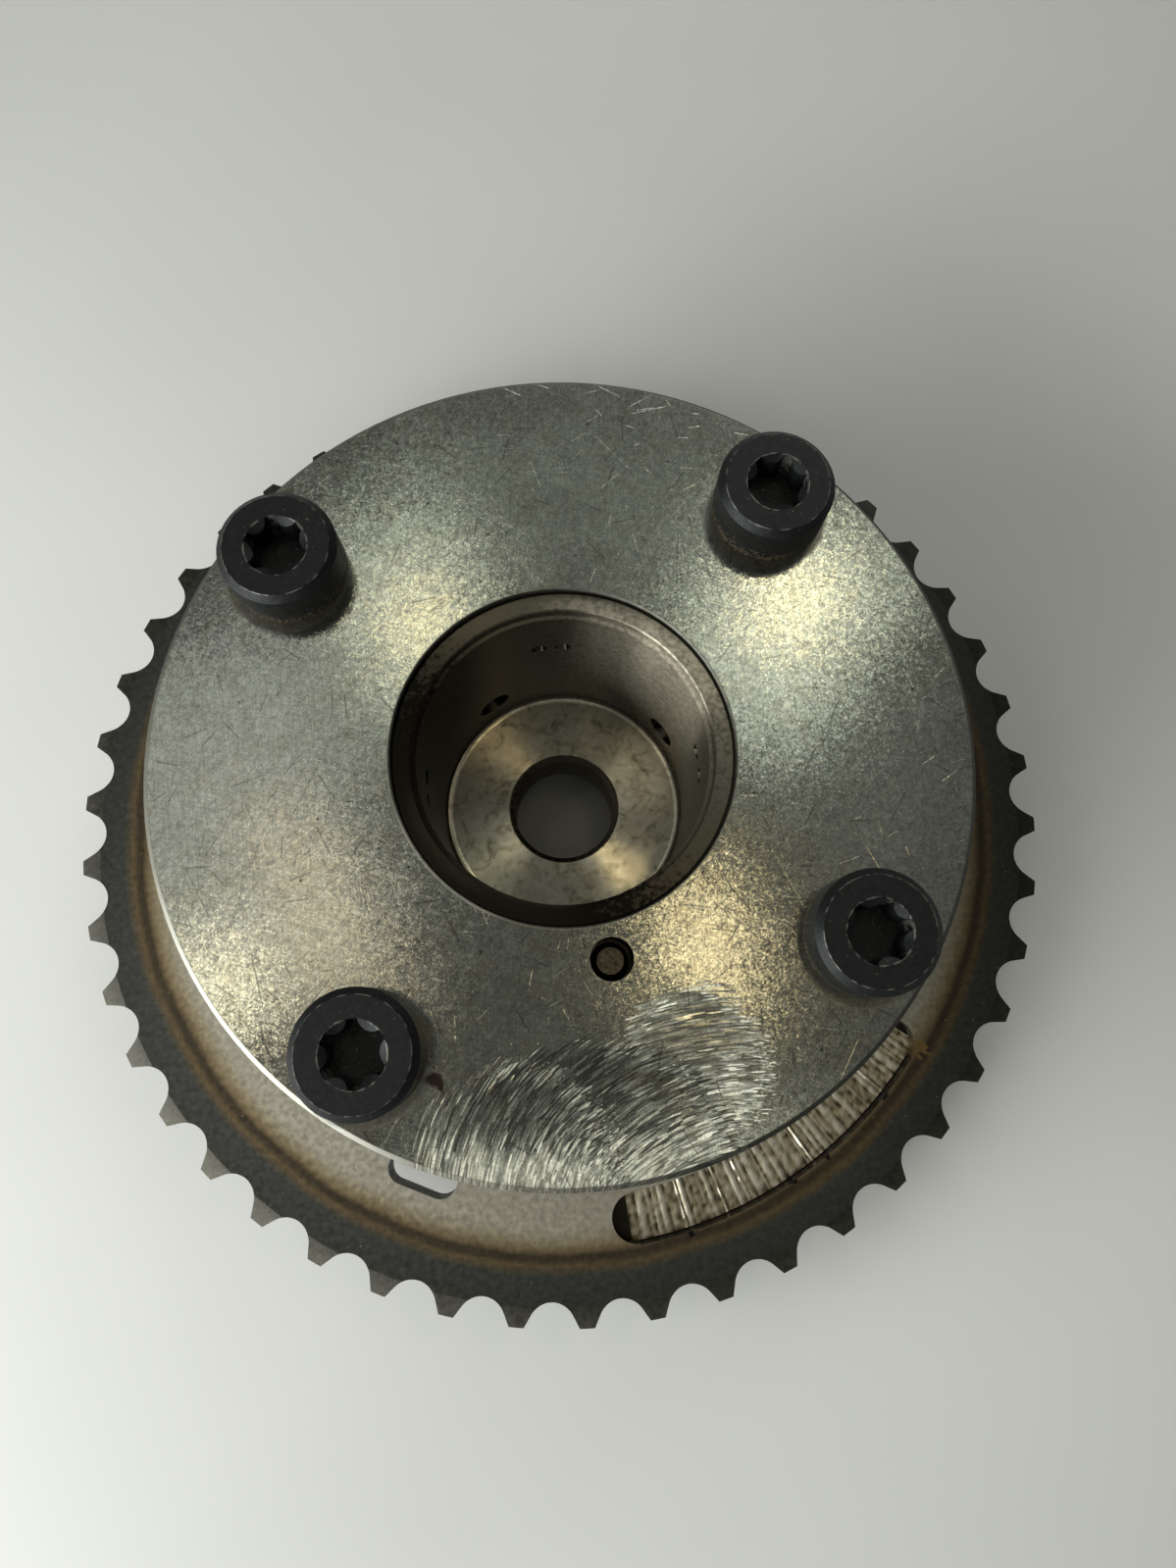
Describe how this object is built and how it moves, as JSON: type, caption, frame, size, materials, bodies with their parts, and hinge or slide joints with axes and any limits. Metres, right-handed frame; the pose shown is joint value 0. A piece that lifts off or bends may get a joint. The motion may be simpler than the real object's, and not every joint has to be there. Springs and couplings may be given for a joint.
{
  "type": "cam phaser",
  "caption": "Vane-type cam phaser: a chain sprocket and stator housing with a ground front cover, and a vaned rotor that turns inside to shift camshaft timing.",
  "frame": {"origin": "on the camshaft axis, at the rear face of the sprocket's collar, which the part stands on", "axes": "+Z along the camshaft axis, out of the front cover; +X to the right and +Y up as seen from the front"},
  "size_m": [0.1202, 0.1202, 0.0514],
  "materials": {
    "sprocket_steel": "induction-hardened steel with brown and blue-black heat tint",
    "stator_steel": "sintered steel, machined",
    "ground_steel": "ground steel, scratched and worn",
    "black_screw_steel": "black oxide",
    "rotor_steel": "sintered steel with a turned pocket",
    "pin_steel": "hardened, ground",
    "spring_steel": "drawn spring steel",
    "seal_plastic": "filled plastic seal strip"
  },
  "bodies": {
    "housing": {"sprocket": "sprocket_steel", "stator": "stator_steel", "front_cover": "ground_steel", "cover_screws": "black_screw_steel", "housing_dowel_1": "pin_steel", "housing_dowel_2": "pin_steel", "stator_seal_1": "seal_plastic", "stator_seal_2": "seal_plastic", "stator_seal_3": "seal_plastic", "stator_seal_4": "seal_plastic", "stator_seal_spring_1": "spring_steel", "stator_seal_spring_2": "spring_steel", "stator_seal_spring_3": "spring_steel", "stator_seal_spring_4": "spring_steel"},
    "rotor": {"rotor": "rotor_steel", "lock_pin_spring": "spring_steel", "vane_seal_1": "seal_plastic", "vane_seal_2": "seal_plastic", "vane_seal_3": "seal_plastic", "vane_seal_4": "seal_plastic", "vane_seal_spring_1": "spring_steel", "vane_seal_spring_2": "spring_steel", "vane_seal_spring_3": "spring_steel", "vane_seal_spring_4": "spring_steel"},
    "lock_pin": {"lock_pin": "pin_steel"}
  },
  "joints": [
    {"name": "phase_turn", "type": "hinge", "parent": "housing", "child": "rotor", "pos_m": [0, 0, 0.014], "axis": [0, 0, 1], "range_deg": [-21.7, 2.7]},
    {"name": "lock_pin_slide", "type": "slide", "parent": "rotor", "child": "lock_pin", "axis": [0, 0, 1], "range_m": [-0.003, 0], "stiffness_N_per_m": 800, "springref_m": 0.003, "deforming": ["lock_pin_spring"]}
  ]
}
